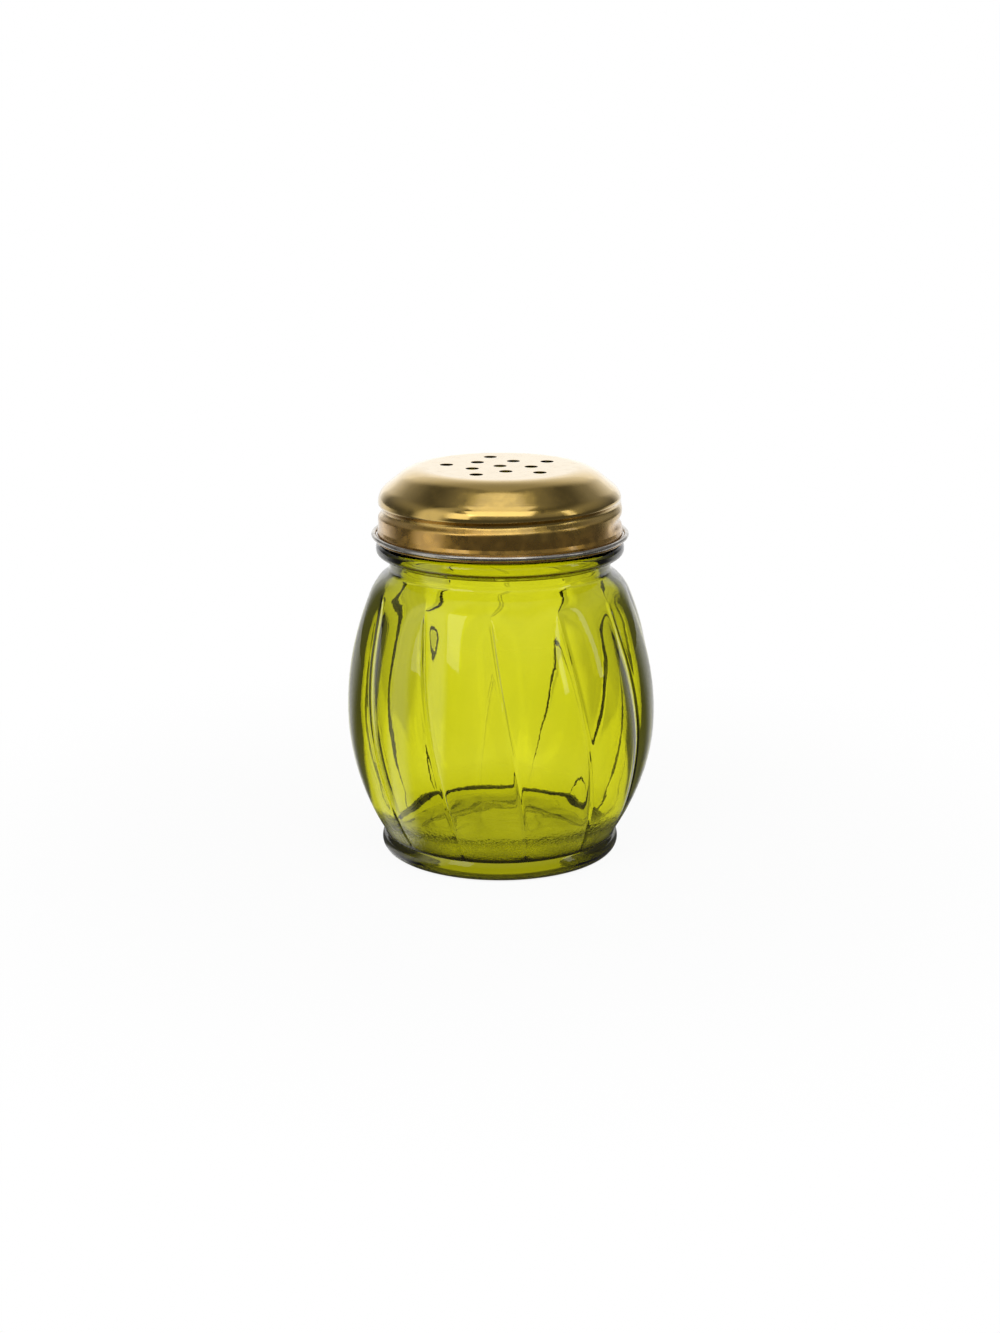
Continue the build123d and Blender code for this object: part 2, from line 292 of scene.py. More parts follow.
class Finishes(bpy.types.PropertyGroup):
    """Colours and polish of the glass and the metals"""

    glass_colour: colour("Glass colour", "Light that the green glass lets by", (0.934, 0.932, 0.20))
    glass_density: number("Glass density", "Strength of the green, per metre", 900.0)
    glass_cloud: colour("Glass cloud", "Tint of the faint clouds on the glass", (0.97, 0.98, 0.93))
    glass_index: number("Glass index", "Refractive index of the glass", 1.52)
    glass_roughness: share("Glass roughness", "Haze of the fire-polished surface", 0.012)
    stipple_roughness: share("Stipple roughness", "Roughness of the stippled heel", 0.32)
    stipple_depth: length("Stipple depth", "Depth of the stipple", 0.0002)
    gold: colour("Gold", "Polished gold plate", (0.56, 0.375, 0.085))
    # Painted shade: the gold darkens to this colour towards the hem, between the two depths below, standing
    # in for the shade near the ring
    painted_shade_gold: colour("Deep gold", "Gold towards the hem", (0.55, 0.315, 0.06))
    shade_from: length("Deep from", "Top of the cap down to where the gold begins to deepen", 0.007)
    shade_at: length("Deep at", "Top of the cap down to where the gold is deepest", 0.016)
    lacquer: share("Lacquer", "Strength of the clear lacquer", 0.8)
    lacquer_roughness: share("Lacquer roughness", "Blur of the lacquer", 0.08)
    lacquer_index: number("Lacquer index", "Refractive index of the lacquer", 1.5)
    gold_roughness: share("Gold roughness", "Blur of the gold plate", 0.16)
    satin: number("Satin", "How much duller the skirt is than the dome", 1.8)
    satin_from: length("Satin from", "Top of the cap down to where the dome ends", 0.0085)
    satin_at: length("Satin at", "Top of the cap down to where the skirt is dull", 0.0105)
    # Near-black painted shade for the inside of the cap and the walls of its holes, where shade falls
    painted_shade_colour: colour("Raw metal", "Inside of the cap and walls of its holes", (0.004, 0.003, 0.002))
    steel: colour("Steel", "Bare steel ring", (0.60, 0.57, 0.52))
    steel_dull: colour("Dull steel", "Steel in its duller patches", (0.36, 0.34, 0.31))
    steel_roughness: share("Steel roughness", "Blur of the steel", 0.26)


class StageSettings(bpy.types.PropertyGroup):
    """Camera, table and room"""

    camera_place: place("Camera", "Where the camera stands", (0.0, -0.575, 0.202))
    camera_target: place("Target", "What the camera looks at", (0.0, 0.0, 0.0483))
    lens: number("Lens", "Focal length in millimetres", 62.0)
    floor_size: length("Floor size", "Side of the table", 6.0)
    table_gap: length("Table gap", "Air that keeps table and glass from meeting in one plane", 0.0002)
    floor_colour: colour("Floor", "Pale table", (0.84, 0.84, 0.835))
    lit_radius: length("Lit radius", "Table around the shaker that takes its shadow", 0.06)
    white_radius: length("White radius", "Where the table has become white background", 0.20)
    white_near: share("White near", "How white the table already is beside the shaker", 0.94)
    # Painted shadow under the foot: its radius, and how much of the table's white glow stays there
    foot_shadow: length("Foot shadow", "Radius of the table that the foot covers", 0.0280)
    white_beneath: share("White beneath", "How white the table stays under the foot", 0.60)
    path_width: length("Path width", "Half the width of a white path across the table", 0.036)
    solid_path_width: length("Solid path width", "Half the width of a path that solid glass sees", 0.020)
    path_spread: turn("Path spread", "How fast a white path widens", 3.5)
    floor_panel: turn("Floor panel", "Half the angle of the white table behind, in mirror images", 60.0)
    wall_panel: turn("Wall panel", "Half the angle of the white wall behind, in mirror images", 34.0)
    flag_level: share("Flag level", "Brightness of the dim flags between the panels", 0.10)
    hollow_flag_level: share("Hollow flag level", "Brightness of the flags that hollow glass sees", 0.68)
    fill: number("Fill", "Level of the light from all sides", 0.42)
    panel_top: number("Panel top", "Brightness of the white wall behind where it bends overhead", 0.45)
    cove: number("Cove", "Brightness of the walls where they meet the ceiling", 0.30)
    ceiling: number("Ceiling", "Brightness of the ceiling", 0.10)


class JarForm:
    """Levels, radii and outline of the jar, worked out from its sizes."""

    def __init__(self, jar):
        self.jar = jar
        self.belly_level = jar.foot_height + jar.lower_rise
        self.shoulder_level = self.belly_level + jar.upper_rise
        self.groove_top = self.shoulder_level + jar.roll_rise
        self.neck_foot = self.groove_top + jar.neck_flare
        self.bead_bottom = self.neck_foot + jar.neck_length
        self.bead_top = self.bead_bottom + jar.bead_height
        self.lip_top = self.bead_top + jar.finish_height
        self.wall_foot = jar.floor_thickness + jar.floor_corner
        self.crease_radius = jar.belly_radius - jar.lower_taper
        self.shoulder_radius = jar.belly_radius - jar.upper_taper
        self.neck_radius = jar.neck_bore + jar.neck_wall
        self.crest_of_thread = self.neck_radius + jar.thread_depth

    def crest_radius(self, height):
        """Radius of the lobe crests: a lower arc, an upper arc and a tighter roll over the shoulder."""
        jar = self.jar
        if height < self.belly_level:
            lower = arc_radius(jar.lower_taper, jar.lower_rise)
            return jar.belly_radius - arc_drop(lower, self.belly_level - height)
        upper = arc_radius(jar.upper_taper, jar.upper_rise)
        if height < self.shoulder_level:
            return jar.belly_radius - arc_drop(upper, height - self.belly_level)
        tilt = asin(jar.upper_rise / upper)
        above_centre = height - self.shoulder_level + jar.shoulder_roll * sin(tilt)
        roll_centre = self.shoulder_radius - jar.shoulder_roll * cos(tilt)
        return roll_centre + sqrt(jar.shoulder_roll ** 2 - above_centre ** 2)

    def groove_depth(self, height):
        """Depth of the grooves, fading out at the foot and at the shoulder."""
        jar = self.jar
        ends = eased((height - jar.foot_height) / jar.groove_fade_bottom)
        return jar.groove_depth * ends * eased((self.groove_top - height) / jar.groove_fade_top)

    def inside_depth(self, height):
        """Depth of the grooves on the inside, between the round of the floor and the shoulder."""
        fade = self.jar.inside_fade
        ends = eased((height - self.wall_foot) / fade) * eased((self.shoulder_level - height) / fade)
        return self.jar.inside_lobes * ends * self.groove_depth(height)

    def lobe_radius(self, crest, depth, softness, off_crest):
        """Radius on a lobe, off_crest radians away from its crest: an arc through crest and grooves."""
        half = pi / self.jar.lobes
        groove = crest - depth
        sag = crest - groove * cos(half)
        chord = groove * sin(half)
        bend = (sag ** 2 + chord ** 2) / (2 * sag)
        centre = crest - bend
        near = ray_to_circle(centre, bend, off_crest)
        far = ray_to_circle(centre, bend, 2 * half - abs(off_crest))
        soft = softness * depth / self.jar.groove_depth
        return (near + far) / 2 + sqrt((near - far) ** 2 / 4 + soft ** 2)

    def crease(self, crest, height, off_crest):
        """Depth of the narrow crease in a groove, which ends above the foot and below the shoulder."""
        jar = self.jar
        off_groove = (pi / jar.lobes - abs(off_crest)) * crest / jar.crease_width
        bottom = eased((height - jar.foot_height) / jar.crease_fade_bottom)
        top = eased((self.groove_top - jar.crease_stop - height) / jar.crease_fade_top)
        return jar.crease_depth * bottom * top * exp(-off_groove ** 2)

    def twist_at(self, height):
        """Turn of the grooves at a height, which stops at the ends of the lobed body."""
        jar = self.jar
        level = min(self.groove_top, max(jar.foot_height, height))
        return radians(jar.twist * MILLIMETRES_PER_METRE) * (level - jar.front_groove_height)


class LidForm:
    """Levels, radii and outline of the cap, worked out from its sizes and the jar's."""

    def __init__(self, jar_form, lid):
        jar = jar_form.jar
        self.lid = lid
        self.jar = jar
        self.cap_top = jar_form.lip_top + lid.cap_rise
        self.inside_radius = jar_form.crest_of_thread + lid.thread_clearance
        self.cap_radius = self.inside_radius + lid.sheet
        self.hem_radius = lid.wire_radius + lid.ring_clearance
        self.ring_radius = self.cap_radius + lid.hem_flare + self.hem_radius
        self.ring_level = jar_form.bead_top + lid.seat_clearance + lid.sheet + self.hem_radius
        self.thread_level = self.ring_level + lid.thread_rise
        across, upward = sin(lid.cone_angle), cos(lid.cone_angle)
        lip = across * (jar_form.neck_radius - jar.lip_round) + upward * (jar_form.lip_top - jar.lip_round)
        cone = lip + jar.lip_round + lid.seat_clearance + lid.sheet
        self.top_corner = (cone - upward * self.cap_top) / across
        self.side_corner = (cone - across * self.cap_radius) / upward

    def outside(self):
        """Outline of the sheet's outside, from the flat plate down to the hem around the ring."""
        lid = self.lid
        hem_inside = self.ring_radius - self.hem_radius
        side = filleted([
            (lid.plate_radius, self.cap_top, 0),
            (self.top_corner, self.cap_top, lid.top_round),
            (self.cap_radius, self.side_corner, lid.side_round),
            (self.cap_radius, self.ring_level + self.hem_radius * 2, lid.sheet),
            (hem_inside, self.ring_level + self.hem_radius, lid.sheet),
            (hem_inside, self.ring_level, 0),
        ], CAP_STEPS)
        middle = Vector((self.ring_radius, self.ring_level))
        start = Vector((-self.hem_radius, 0.0))
        hem = arc_points(middle, start, pi / 2 + lid.hem_past_bottom, HEM_STEPS)
        return spaced(side, CAP_GAP) + hem[1:]


def eased(share_done):
    """Rises from 0 to 1 and levels off there."""
    return sin(min(1.0, max(0.0, share_done)) * pi / 2)


def uneven(spot, fineness, shift):
    """Smooth unevenness at a spot, from -1 to 1."""
    return noise.noise(spot * fineness + Vector(shift))


def arc_radius(drop, rise):
    """Radius of an arc that drops by that much over that rise."""
    return (drop ** 2 + rise ** 2) / (2 * drop)


def arc_drop(radius, rise):
    """How far an arc of that radius has dropped after that rise."""
    return radius - sqrt(radius ** 2 - rise ** 2)


def ray_to_circle(centre, radius, angle):
    """Distance from the axis to a circle centred off the axis, along a ray."""
    return centre * cos(angle) + sqrt(max(0.0, radius ** 2 - (centre * sin(angle)) ** 2))


def filleted(corners, arc_steps):
    """Outline through corners given as (radius, height, rounding), with an arc at each rounded corner."""
    outline = []
    for index, (radius, height, rounding) in enumerate(corners):
        corner = Vector((radius, height))
        if not rounding:
            outline.append(corner)
            continue
        before = (Vector(corners[index - 1][:2]) - corner).normalized()
        after = (Vector(corners[index + 1][:2]) - corner).normalized()
        half = before.angle(after) / 2
        centre = corner + (before + after).normalized() * rounding / sin(half)
        start = corner + before * rounding / tan(half) - centre
        end = corner + after * rounding / tan(half) - centre
        outline.extend(arc_points(centre, start, -start.angle_signed(end), arc_steps))
    return outline


def arc_points(centre, start, sweep, steps):
    """Flat points on an arc around a centre, which begins at the offset start and sweeps anticlockwise."""
    return [
        centre + Vector((start.x * cos(a) - start.y * sin(a), start.x * sin(a) + start.y * cos(a)))
        for a in arc_angles(sweep, steps)
    ]


def arc_angles(sweep, steps):
    """Angles along an arc, from 0 to the whole sweep."""
    return [sweep * step / steps for step in range(steps + 1)]


def turn_angles(steps):
    """Angles all around, from 0 to one step before a full turn."""
    return [2 * pi * step / steps for step in range(steps)]


def around(radius, angle, height):
    """Point at a radius from the Z axis, at an angle around it and at a height."""
    return radius * cos(angle), radius * sin(angle), height


def spaced(outline, gap):
    """The outline with points added, so that they lie about a gap apart or closer."""
    points = [outline[0]]
    for point in outline[1:]:
        last = points[-1]
        count = max(1, round((point - last).length / gap))
        points.extend(last.lerp(point, step / count) for step in range(1, count + 1))
    return points


def curve_through(points, start_slope, end_slope, steps):
    """Smooth curve through flat points, with the slope given at both ends."""
    slopes = [Vector(start_slope)]
    for index in range(1, len(points) - 1):
        slopes.append((points[index + 1] - points[index - 1]).normalized())
    slopes.append(Vector(end_slope))
    curve = [points[0]]
    for index in range(len(points) - 1):
        first, last = points[index], points[index + 1]
        reach = (last - first).length
        for step in range(1, steps + 1):
            along = step / steps
            cubed, squared = along ** 3, along ** 2
            curve.append(
                first * (2 * cubed - 3 * squared + 1)
                + slopes[index] * reach * (cubed - 2 * squared + along)
                + last * (3 * squared - 2 * cubed)
                + slopes[index + 1] * reach * (cubed - squared)
            )
    return curve


def thread_height(angle, height, start, level, pitch, turns, fade, root, crest):
    """Height of a thread, from 0 to 1, at a place on its cylinder."""
    best = 0.0
    lap = ((angle - start) / (2 * pi)) % 1.0
    while lap <= turns:
        off_middle = abs(height - level - pitch * lap)
        ends = min(1.0, min(lap, turns - lap) / fade)
        flank = min(1.0, max(0.0, (root / 2 - off_middle) / (root / 2 - crest / 2)))
        rise = flank * flank * (3 - 2 * flank)
        best = max(best, rise * sin(ends * pi / 2))
        lap += 1.0
    return best


def mesh_object(name, points, faces):
    """Smooth-shaded object made of points and faces."""
    mesh = bpy.data.meshes.new(name)
    mesh.from_pydata(points, [], faces)
    mesh.validate()
    mesh.polygons.foreach_set("use_smooth", [True] * len(mesh.polygons))
    thing = bpy.data.objects.new(name, mesh)
    bpy.context.scene.collection.objects.link(thing)
    return thing


def band_faces(first, second, count):
    """Quads between two rings of count points that start at these indices."""
    return [
        (first + step, first + (step + 1) % count, second + (step + 1) % count, second + step)
        for step in range(count)
    ]


def fan_faces(centre, first, count, outward):
    """Triangles from a middle point to a ring."""
    fan = [(centre, first + step, first + (step + 1) % count) for step in range(count)]
    return fan if outward else [triangle[::-1] for triangle in fan]


def fit_piece(piece, material, body, node):
    """Gives a piece its finish and ties it to the body and node that it stands for."""
    piece.data.materials.append(material)
    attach(piece, body)
    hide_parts(node)


def set_input(tree, entry, value):
    """Sets an input, or links it to a node's first output or to one given as (node, output)."""
    if isinstance(value, bpy.types.Node):
        value = (value, 0)
    if isinstance(value, tuple) and isinstance(value[0], bpy.types.Node):
        tree.links.new(value[0].outputs[value[1]], entry)
    else:
        entry.default_value = value


def new_node(tree, kind, **inputs):
    """Adds a shader node and sets or links its inputs by name, with underscores for spaces."""
    node = tree.nodes.new(kind)
    for key, value in inputs.items():
        set_input(tree, node.inputs[key.replace("_", " ")], value)
    return node


def new_material(name):
    """Empty node material."""
    material = bpy.data.materials.new(name)
    material.use_nodes = True
    material.node_tree.nodes.clear()
    return material, material.node_tree


def calculated(tree, operation, *values):
    """Math node on numbers and outputs."""
    node = tree.nodes.new("ShaderNodeMath")
    node.operation = operation
    for entry, value in zip(node.inputs, values):
        set_input(tree, entry, value)
    return node


def ranged(tree, value, start, end, low=0.0, high=1.0, kind="LINEAR"):
    """Goes from low to high while a value goes from start to end."""
    span = new_node(
        tree, "ShaderNodeMapRange", Value=value, From_Min=start, From_Max=end, To_Min=low, To_Max=high
    )
    span.interpolation_type = kind
    return span


def spread(tree, source, low, high):
    """Maps a noise to a range of numbers."""
    return ranged(tree, source, NOISE_LOW, NOISE_HIGH, low, high)


def vector_length(tree, vector):
    """Length of a vector."""
    reach = new_node(tree, "ShaderNodeVectorMath", Vector=vector)
    reach.operation = "LENGTH"
    return reach, "Value"


def own_place(tree):
    """Place on an object in its own metres, split into X, Y and Z."""
    return new_node(tree, "ShaderNodeSeparateXYZ", Vector=(new_node(tree, "ShaderNodeTexCoord"), "Object"))


def off_axis(tree, spot):
    """Distance of a split place from the Z axis."""
    return vector_length(tree, new_node(tree, "ShaderNodeCombineXYZ", X=(spot, "X"), Y=(spot, "Y")))


def object_noise(tree, scale, detail, stretch=(1.0, 1.0, 1.0)):
    """Noise in the object's own metres, stretched along its axes."""
    spot = (new_node(tree, "ShaderNodeTexCoord"), "Object")
    mapping = new_node(tree, "ShaderNodeMapping", Vector=spot, Scale=stretch)
    return new_node(tree, "ShaderNodeTexNoise", Vector=mapping, Scale=scale, Detail=detail)


def turning_noise(tree, scale, detail):
    """Noise that runs in rings around Z, as marks from spinning do."""
    spot = own_place(tree)
    rings = new_node(tree, "ShaderNodeCombineXYZ", X=off_axis(tree, spot), Y=(spot, "Z"))
    return new_node(tree, "ShaderNodeTexNoise", Vector=rings, Scale=scale, Detail=detail)


def tinted(tree, source, first, second):
    """Mixes two colours by a noise."""
    ramp = new_node(tree, "ShaderNodeValToRGB", Fac=source)
    stops = ((TINT_START, first), (TINT_END, second))
    for element, (position, tint) in zip(ramp.color_ramp.elements, stops):
        element.position = position
        element.color = (*tint, 1.0)
    return ramp


def bumped(tree, source, bump, under=None):
    """Bump from a noise, over another bump if one is given."""
    strength, depth = bump
    node = new_node(tree, "ShaderNodeBump", Height=source, Strength=strength, Distance=depth)
    if under:
        set_input(tree, node.inputs["Normal"], under)
    return node


def worn_roughness(tree, pattern, roughness, worn):
    """Roughness that varies between shares of its usual value."""
    return spread(tree, object_noise(tree, *pattern), roughness * worn[0], roughness * worn[1])


def facing_down(tree, start, full):
    """1 where a surface faces down, from a normal with a height of start to one with a height of full."""
    normal = (new_node(tree, "ShaderNodeNewGeometry"), "True Normal")
    return ranged(tree, (new_node(tree, "ShaderNodeSeparateXYZ", Vector=normal), "Z"), start, full)


def stippled_heel(tree, heel_height):
    """1 on the underside of the foot and its heel, 0 elsewhere."""
    start, full = HEEL_FADE
    low = ranged(tree, (own_place(tree), "Z"), heel_height * start, heel_height * full)
    return calculated(tree, "MULTIPLY", low, facing_down(tree, *HEEL_DOWN))


def green_glass(finish, heel_height):
    """Olive green pressed glass, darker where it is thick, with the faint unevenness of its mould."""
    material, tree = new_material("green_glass")
    heel = stippled_heel(tree, heel_height)
    polish = spread(tree, object_noise(tree, *GLASS_HAZE), 0.0, finish.glass_roughness * 2)
    frosted = calculated(tree, "MULTIPLY", heel, finish.stipple_roughness)
    stipple = calculated(tree, "MULTIPLY", heel, object_noise(tree, *GLASS_STIPPLE))
    ripples = bumped(tree, object_noise(tree, *GLASS_MOULD), MOULD_BUMP)
    stippled = bumped(tree, stipple, (1.0, finish.stipple_depth), ripples)
    glass = new_node(
        tree, "ShaderNodeBsdfPrincipled", IOR=finish.glass_index, Transmission_Weight=1.0,
        Base_Color=tinted(tree, object_noise(tree, *GLASS_CLOUDS), finish.glass_cloud, WHITE),
        Roughness=calculated(tree, "MAXIMUM", polish, frosted),
        Normal=bumped(tree, object_noise(tree, *GLASS_SKIN), SKIN_BUMP, stippled),
    )
    body = new_node(
        tree, "ShaderNodeVolumeAbsorption", Color=(*finish.glass_colour, 1.0), Density=finish.glass_density
    )
    new_node(tree, "ShaderNodeOutputMaterial", Surface=glass, Volume=body)
    return material


def with_painted_hole_shade(tree, plated, finish, plate_radius, plate_top):
    """The plate's colour, with near-black painted shade on the walls of the punched holes and inside the
    cap.
    """
    spot = own_place(tree)
    start, full = HOLE_WALL_FADE
    under = ranged(tree, (spot, "Z"), plate_top - start, plate_top - full)
    within = calculated(tree, "LESS_THAN", off_axis(tree, spot), plate_radius)
    hole_walls = calculated(tree, "MULTIPLY", under, within)
    # Painted shade: near black on the hole walls and wherever the cap's inside faces down
    shade_mask = calculated(tree, "MAXIMUM", facing_down(tree, *INSIDE_DOWN), hole_walls)
    mix = new_node(tree, "ShaderNodeMix", Factor=shade_mask)
    mix.data_type = "RGBA"
    set_input(tree, mix.inputs[MIX_FIRST_COLOUR], plated)
    set_input(tree, mix.inputs[MIX_SECOND_COLOUR], (*finish.painted_shade_colour, 1.0))
    return mix, MIX_COLOUR


def gold_plate(finish, plate_radius, plate_top):
    """Lacquered gold plate with faint spinning marks, painted shade that deepens the gold towards the hem,
    and fine handling wear.
    """
    material, tree = new_material("gold_plate")
    height = (own_place(tree), "Z")
    patches = spread(tree, object_noise(tree, *GOLD_PATCHES), -PATCH_SHIFT, PATCH_SHIFT)
    # Painted shade: the gold darkens by height towards the hem, standing in for the shade near the ring
    painted_shade_fade = ranged(tree, height, plate_top - finish.shade_at, plate_top - finish.shade_from)
    plated = tinted(tree, calculated(tree, "ADD", patches, painted_shade_fade), finish.painted_shade_gold, finish.gold)
    worn = worn_roughness(tree, GOLD_WEAR, finish.gold_roughness, GOLD_WORN)
    skirt = ranged(
        tree, height, plate_top - finish.satin_from, plate_top - finish.satin_at, 1.0, finish.satin
    )
    dents = bumped(tree, object_noise(tree, *GOLD_DENTS), DENT_BUMP)
    gold = new_node(
        tree, "ShaderNodeBsdfPrincipled", Metallic=1.0,
        Base_Color=with_painted_hole_shade(tree, plated, finish, plate_radius, plate_top),
        Roughness=calculated(tree, "MULTIPLY", worn, skirt),
        Normal=bumped(tree, turning_noise(tree, *GOLD_MARKS), SPUN_BUMP, dents),
        Coat_Weight=finish.lacquer,
        Coat_Roughness=finish.lacquer_roughness,
        Coat_IOR=finish.lacquer_index,
    )
    new_node(tree, "ShaderNodeOutputMaterial", Surface=gold)
    return material


def bare_steel(finish):
    """Drawn steel wire with fine marks along the ring and duller patches."""
    material, tree = new_material("bare_steel")
    steel = new_node(
        tree, "ShaderNodeBsdfPrincipled", Metallic=1.0,
        Base_Color=tinted(tree, object_noise(tree, *STEEL_PATCHES), finish.steel_dull, finish.steel),
        Roughness=worn_roughness(tree, STEEL_WEAR, finish.steel_roughness, STEEL_WORN),
        Normal=bumped(tree, turning_noise(tree, *STEEL_MARKS), DRAWN_BUMP),
    )
    new_node(tree, "ShaderNodeOutputMaterial", Surface=steel)
    return material


class SHAKER_OT_glass_jar(bpy.types.Operator):
    """Blow the green glass jar with its swirled lobes, foot, bead and threaded finish"""

    bl_idname = "shaker.glass_jar"
    bl_label = "Glass jar"

    def execute(self, context):
        jar = context.scene.shaker_jar
        form = JarForm(jar)
        rings = [
            *self.underside(form),
            *self.lobed_body(form),
            *self.neck_and_finish(context, form),
            *self.inside(form),
        ]
        count = jar.lobes * jar.lobe_steps
        points = [(0.0, 0.0, jar.punt_depth)]
        for ring in rings:
            points.extend(ring)
        points.append((0.0, 0.0, jar.floor_thickness))
        faces = fan_faces(0, 1, count, False)
        for index in range(len(rings) - 1):
            faces.extend(band_faces(1 + index * count, 1 + (index + 1) * count, count))
        faces.extend(fan_faces(len(points) - 1, 1 + (len(rings) - 1) * count, count, True))
        piece = mesh_object("glass_jar_piece", points, faces)
        glass = green_glass(context.scene.shaker_finish, jar.heel_height)
        fit_piece(piece, glass, "jar", "glass_jar")
        return {"FINISHED"}

    def columns(self, form, height):
        """Angle of each column of the mesh, and how far it lies from its lobe's crest."""
        jar = form.jar
        pitch = 2 * pi / jar.lobes
        start = -pi / 2 + form.twist_at(height)
        for lobe in range(jar.lobes):
            for step in range(jar.lobe_steps):
                along = step / jar.lobe_steps
                crowded = along - jar.crowding * sin(2 * pi * along) / (2 * pi)
                yield start + (lobe + crowded) * pitch, (crowded - 0.5) * pitch

    def plain_ring(self, form, radius, height):
        """One round ring of the mesh."""
        return [around(radius, angle, height) for angle, _ in self.columns(form, height)]

    def underside(self, form):
        """Hollow under the jar, the bearing ring and the rounded edge of the foot."""
        jar = form.jar
        edge = form.crease_radius + jar.foot_step
        outside = edge - jar.foot_edge
        inside = outside - jar.bearing_width
        hollow = filleted([
            (inside * MIDDLE_RING, jar.punt_depth, 0),
            (inside - jar.punt_depth / 2, jar.punt_depth, jar.punt_round),
            (inside, 0.0, jar.punt_round),
            (outside, 0.0, 0),
        ], HOLLOW_STEPS)
        round_edge = [
            Vector((outside + jar.foot_edge * sin(a), jar.foot_edge * (1 - cos(a))))
            for a in arc_angles(pi / 2, FOOT_EDGE_STEPS)
        ]
        bulge = Vector((edge - jar.foot_step / 4, (jar.foot_edge + jar.foot_height) / 2))
        crease = Vector((form.crease_radius, jar.foot_height))
        top = curve_through([round_edge[-1], bulge, crease], (0, 1), FOOT_TOP_SLOPE, FOOT_TOP_STEPS)
        outline = spaced(hollow + round_edge[1:], FOOT_GAP) + top[1:-1]
        return [self.plain_ring(form, p.x, p.y) for p in outline]

    def lobed_body(self, form):
        """Swirled lobes between the crease above the foot and the shoulder."""
        bottom, top = form.jar.foot_height, form.groove_top
        rings = []
        for step in range(BODY_RINGS + 1):
            height = bottom + (top - bottom) * step / BODY_RINGS
            crest, depth = form.crest_radius(height), form.groove_depth(height)
            ring = []
            for angle, off_crest in self.columns(form, height):
                radius = form.lobe_radius(crest, depth, form.jar.groove_round, off_crest)
                radius -= form.crease(crest, height, off_crest)
                ring.append(around(radius, angle, height))
            rings.append(ring)
        return rings

    def neck_and_finish(self, context, form):
        """Neck, bead, threaded finish and lip."""
        jar = form.jar
        bead = form.neck_radius + jar.bead_width
        bead_foot = jar.bead_round / 3
        corners = [
            (form.crest_radius(form.groove_top), form.groove_top, 0),
            (form.neck_radius, form.neck_foot, jar.bead_round),
            (form.neck_radius, form.bead_bottom, bead_foot),
            (bead, form.bead_bottom + jar.bead_height / 3, jar.bead_round),
            (bead, form.bead_top, jar.bead_round),
            (form.neck_radius, form.bead_top, bead_foot),
            (form.neck_radius, form.lip_top, jar.lip_round),
            (jar.neck_bore, form.lip_top, jar.lip_round),
            (jar.neck_bore, form.neck_foot + jar.wall / 2, 0),
        ]
        outline = spaced(filleted(corners, NECK_STEPS), NECK_GAP)[1:]
        level = LidForm(form, context.scene.shaker_lid).thread_level + jar.thread_pitch / 2
        rings = []
        for point in outline:
            on_finish = point.x > form.neck_radius - FINISH_PLAY and point.y > form.bead_top
            ring = []
            for angle, _ in self.columns(form, point.y):
                radius = point.x
                if on_finish:
                    radius += jar.thread_depth * thread_height(
                        angle, point.y, jar.thread_angle, level, jar.thread_pitch,
                        jar.thread_turns, jar.thread_fade, jar.thread_root, jar.thread_crest,
                    )
                ring.append(around(radius, angle, point.y))
            rings.append(ring)
        return rings

    def inside(self, form):
        """Inside wall that follows the lobes, the slope at its foot, and the uneven floor."""
        jar = form.jar
        points = [Vector((jar.neck_bore, form.neck_foot + jar.wall / 2))]
        for step in range(WALL_SPANS, -1, -1):
            level = form.wall_foot + (form.shoulder_level - form.wall_foot) * step / WALL_SPANS
            points.append(Vector((form.crest_radius(level) - jar.wall, level)))
        slope_foot = Vector((form.crease_radius - jar.floor_corner, jar.floor_thickness))
        points.append(slope_foot)
        end_slope = (-cos(jar.floor_slope), -sin(jar.floor_slope))
        wall = curve_through(points, (0, -1), end_slope, WALL_STEPS)[1:]
        wall.insert(-1, slope_foot.lerp(wall[-2], SLOPE_RING))
        rings = [self.inside_ring(form, point, slope_foot, 0.0) for point in wall]
        middle = Vector((0, jar.floor_thickness))
        for along in (FLOOR_EDGE_RING, *(step / FLOOR_RINGS for step in range(1, FLOOR_RINGS))):
            point = slope_foot.lerp(middle, along)
            swell = jar.floor_ripple * point.x / slope_foot.x
            rings.append(self.inside_ring(form, point, slope_foot, swell))
        return rings

    def inside_ring(self, form, point, slope_foot, swell):
        """One ring of the inside, with the unevenness of blown glass and of the edge of its floor."""
        jar = form.jar
        depth = form.inside_depth(point.y)
        ripple = jar.wall_ripple * eased((form.shoulder_level - point.y) / jar.shoulder_roll)
        near_edge = max(0.0, 1.0 - (point - slope_foot).length / jar.floor_corner)
        ring = []
        for angle, off_crest in self.columns(form, point.y):
            spot = Vector(around(point.x, angle, point.y * SWELL_HEIGHT)) / jar.ripple_size
            radius = form.lobe_radius(point.x, depth, jar.inside_round, off_crest)
            radius += ripple * uneven(spot, *WALL_SWELLS)
            radius += jar.floor_wander * near_edge * uneven(spot, *FLOOR_EDGE_SWELLS)
            height = point.y + ripple * uneven(spot, *LEVEL_SWELLS) + swell * uneven(spot, *FLOOR_SWELLS)
            ring.append(around(radius, angle, height))
        return ring


